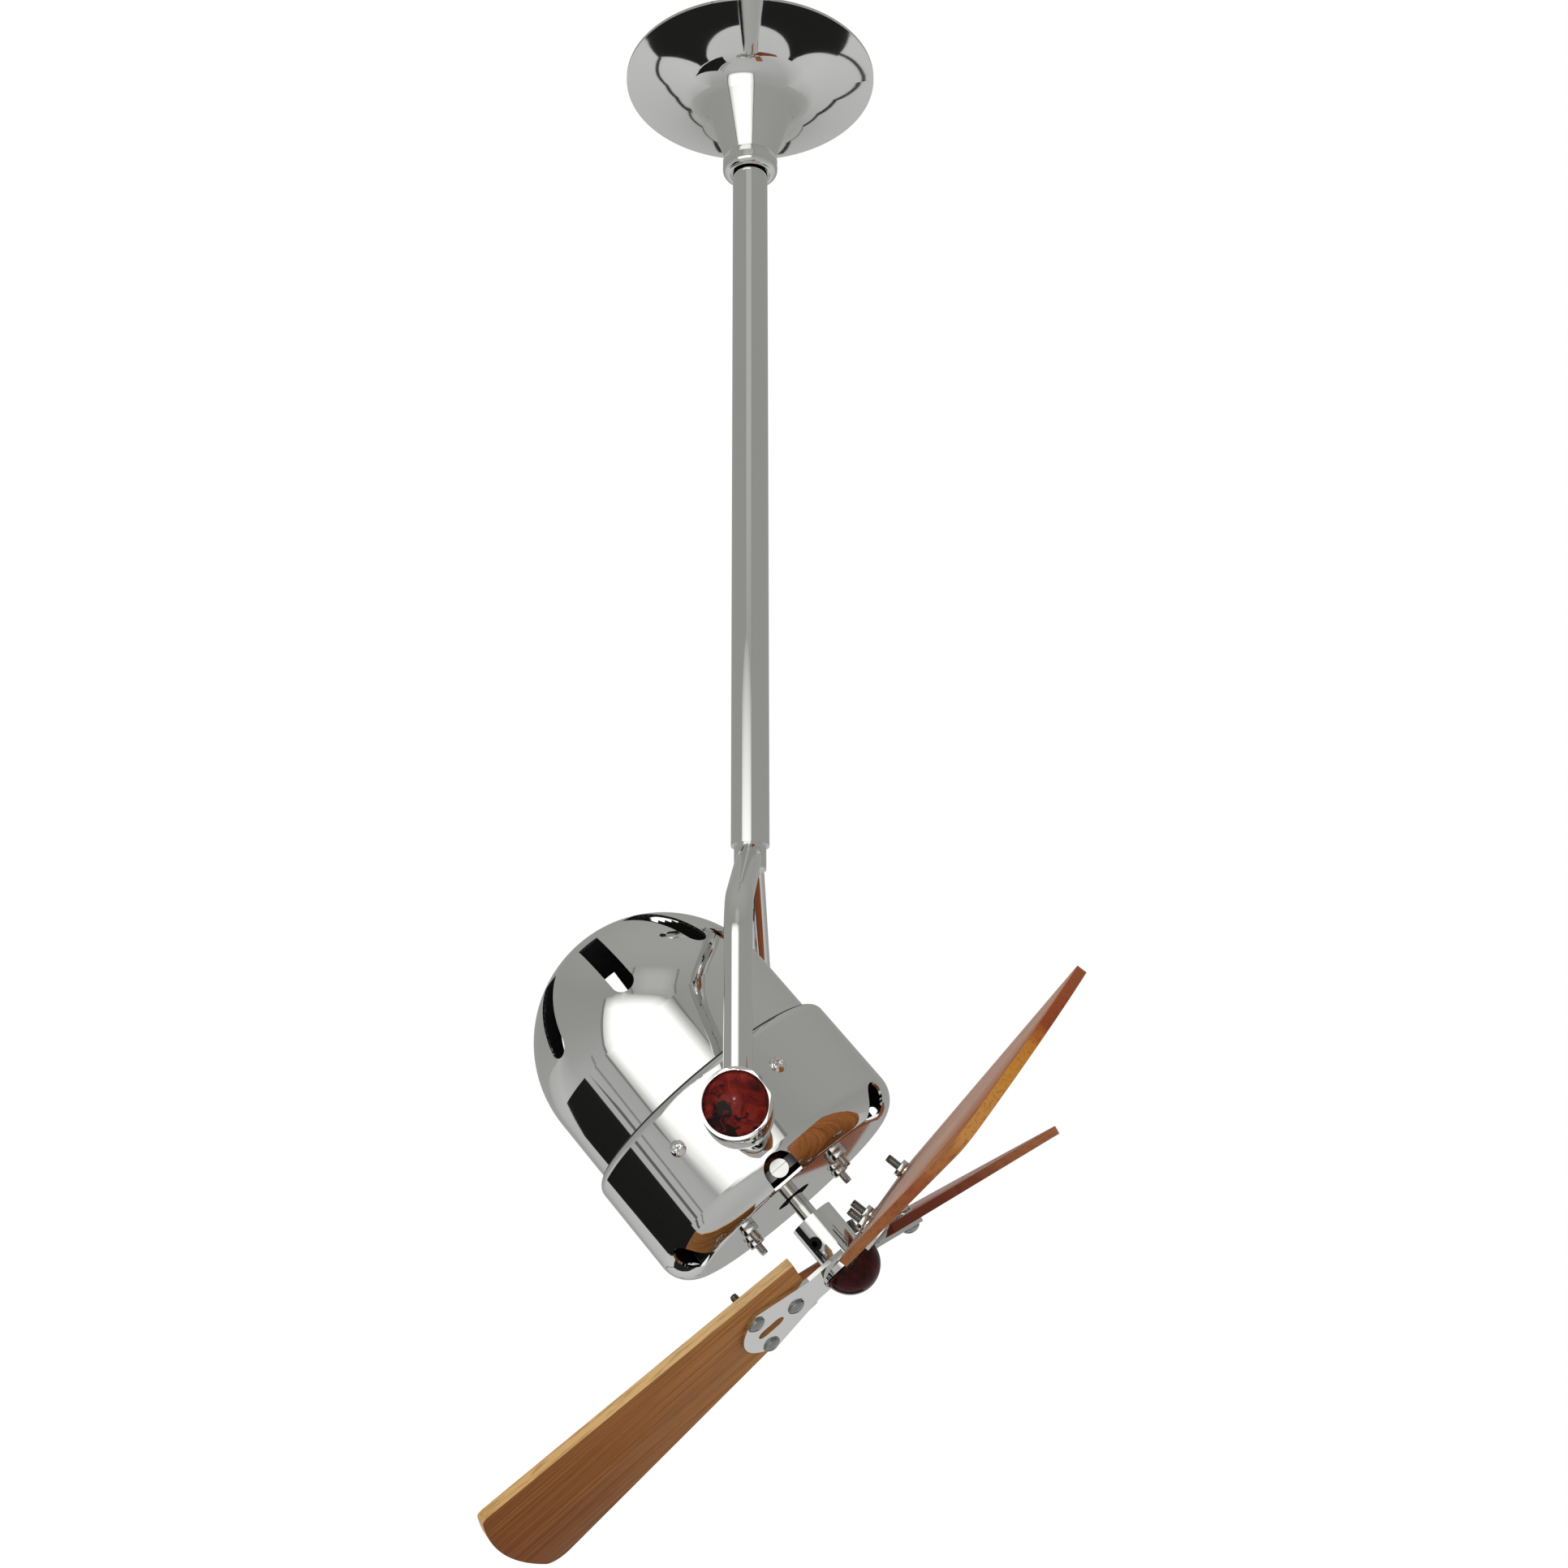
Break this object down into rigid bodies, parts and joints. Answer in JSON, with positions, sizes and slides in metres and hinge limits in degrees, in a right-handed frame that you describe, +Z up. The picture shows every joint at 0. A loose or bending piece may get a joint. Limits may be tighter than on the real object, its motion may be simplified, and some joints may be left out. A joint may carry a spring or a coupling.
{
  "type": "directional ceiling fan",
  "caption": "Directional ceiling fan: chrome canopy and downrod, a swivelling yoke, a tilting vented motor head, and wide wooden blades on flat irons with a burl nose cap.",
  "frame": {"origin": "ceiling plane on the axis of the downrod, at the top face of the ceiling bracket", "axes": "+Z up into the ceiling, +X the way the head is aimed at rest, Y along the tilt axis"},
  "size_m": [0.2698, 0.3809, 0.7801],
  "materials": {
    "chrome": "polished chrome plate",
    "steel": "zinc plated",
    "bronze": "sintered bronze",
    "rubber": "matt",
    "terminal": "matt",
    "fibre": "matt fibre",
    "burl": "dark red burl, lacquered",
    "laminate": "laminated steel",
    "copper": "enamelled copper wire",
    "alloy": "die cast",
    "capacitor": "matt",
    "blade_wood": "satin, straight grain"
  },
  "bodies": {
    "ceiling": {"ceiling_bracket": "steel", "hanger_bolt": "steel", "hanger_nut": "steel", "hanger_bushes": "rubber", "terminal_block": "terminal", "downrod": "chrome", "swivel_bush": "bronze"},
    "canopy": {"canopy": "chrome", "canopy_collar": "chrome", "collar_grub_screw": "steel"},
    "yoke": {"yoke_stem": "chrome", "swivel_washer": "fibre", "swivel_nut": "steel", "yoke_arm_front": "chrome", "yoke_arm_rear": "chrome", "pivot_boss_front": "chrome", "pivot_boss_rear": "chrome", "pivot_nipple_front": "steel", "pivot_nipple_rear": "steel", "pivot_nuts": "steel", "friction_washers": "fibre", "spring_washers": "steel", "pivot_cap_front": "burl", "pivot_cap_rear": "burl"},
    "head": {"front_cup": "chrome", "rear_dome": "chrome", "housing_screws": "chrome", "pivot_bush_front": "chrome", "pivot_bush_rear": "chrome", "bush_nuts": "steel", "stator_stack": "laminate", "coil_front": "copper", "coil_rear": "copper", "front_bracket": "alloy", "rear_bracket": "alloy", "front_bearing": "bronze", "rear_bearing": "bronze", "motor_studs": "steel", "stud_nuts": "steel", "stud_spacers": "steel", "capacitor_clip": "steel", "run_capacitor": "capacitor", "earth_screw": "steel"},
    "rotor": {"rotor_core": "laminate", "motor_shaft": "steel", "thrust_washers": "steel", "hub": "chrome", "hub_set_screw": "steel", "blade_1": "blade_wood", "blade_2": "blade_wood", "blade_3": "blade_wood", "blade_screws": "steel", "blade_washers": "steel", "blade_nuts": "steel", "blade_spider": "chrome", "nose_cap": "burl", "nose_stud": "steel"}
  },
  "joints": [
    {"name": "canopy_slide", "type": "slide", "parent": "ceiling", "child": "canopy", "axis": [0, 0, -1], "range_m": [0, 0.15]},
    {"name": "yoke_swivel", "type": "hinge", "parent": "ceiling", "child": "yoke", "pos_m": [0, 0, -0.437], "axis": [0, 0, 1], "range_deg": [-175, 175]},
    {"name": "head_tilt", "type": "hinge", "parent": "yoke", "child": "head", "pos_m": [0, 0, -0.595], "axis": [0, 1, 0], "range_deg": [-50, 130]},
    {"name": "rotor_spin", "type": "hinge", "parent": "head", "child": "rotor", "pos_m": [0, 0, -0.595], "axis": [0.6428, 0, -0.766], "continuous": true}
  ]
}
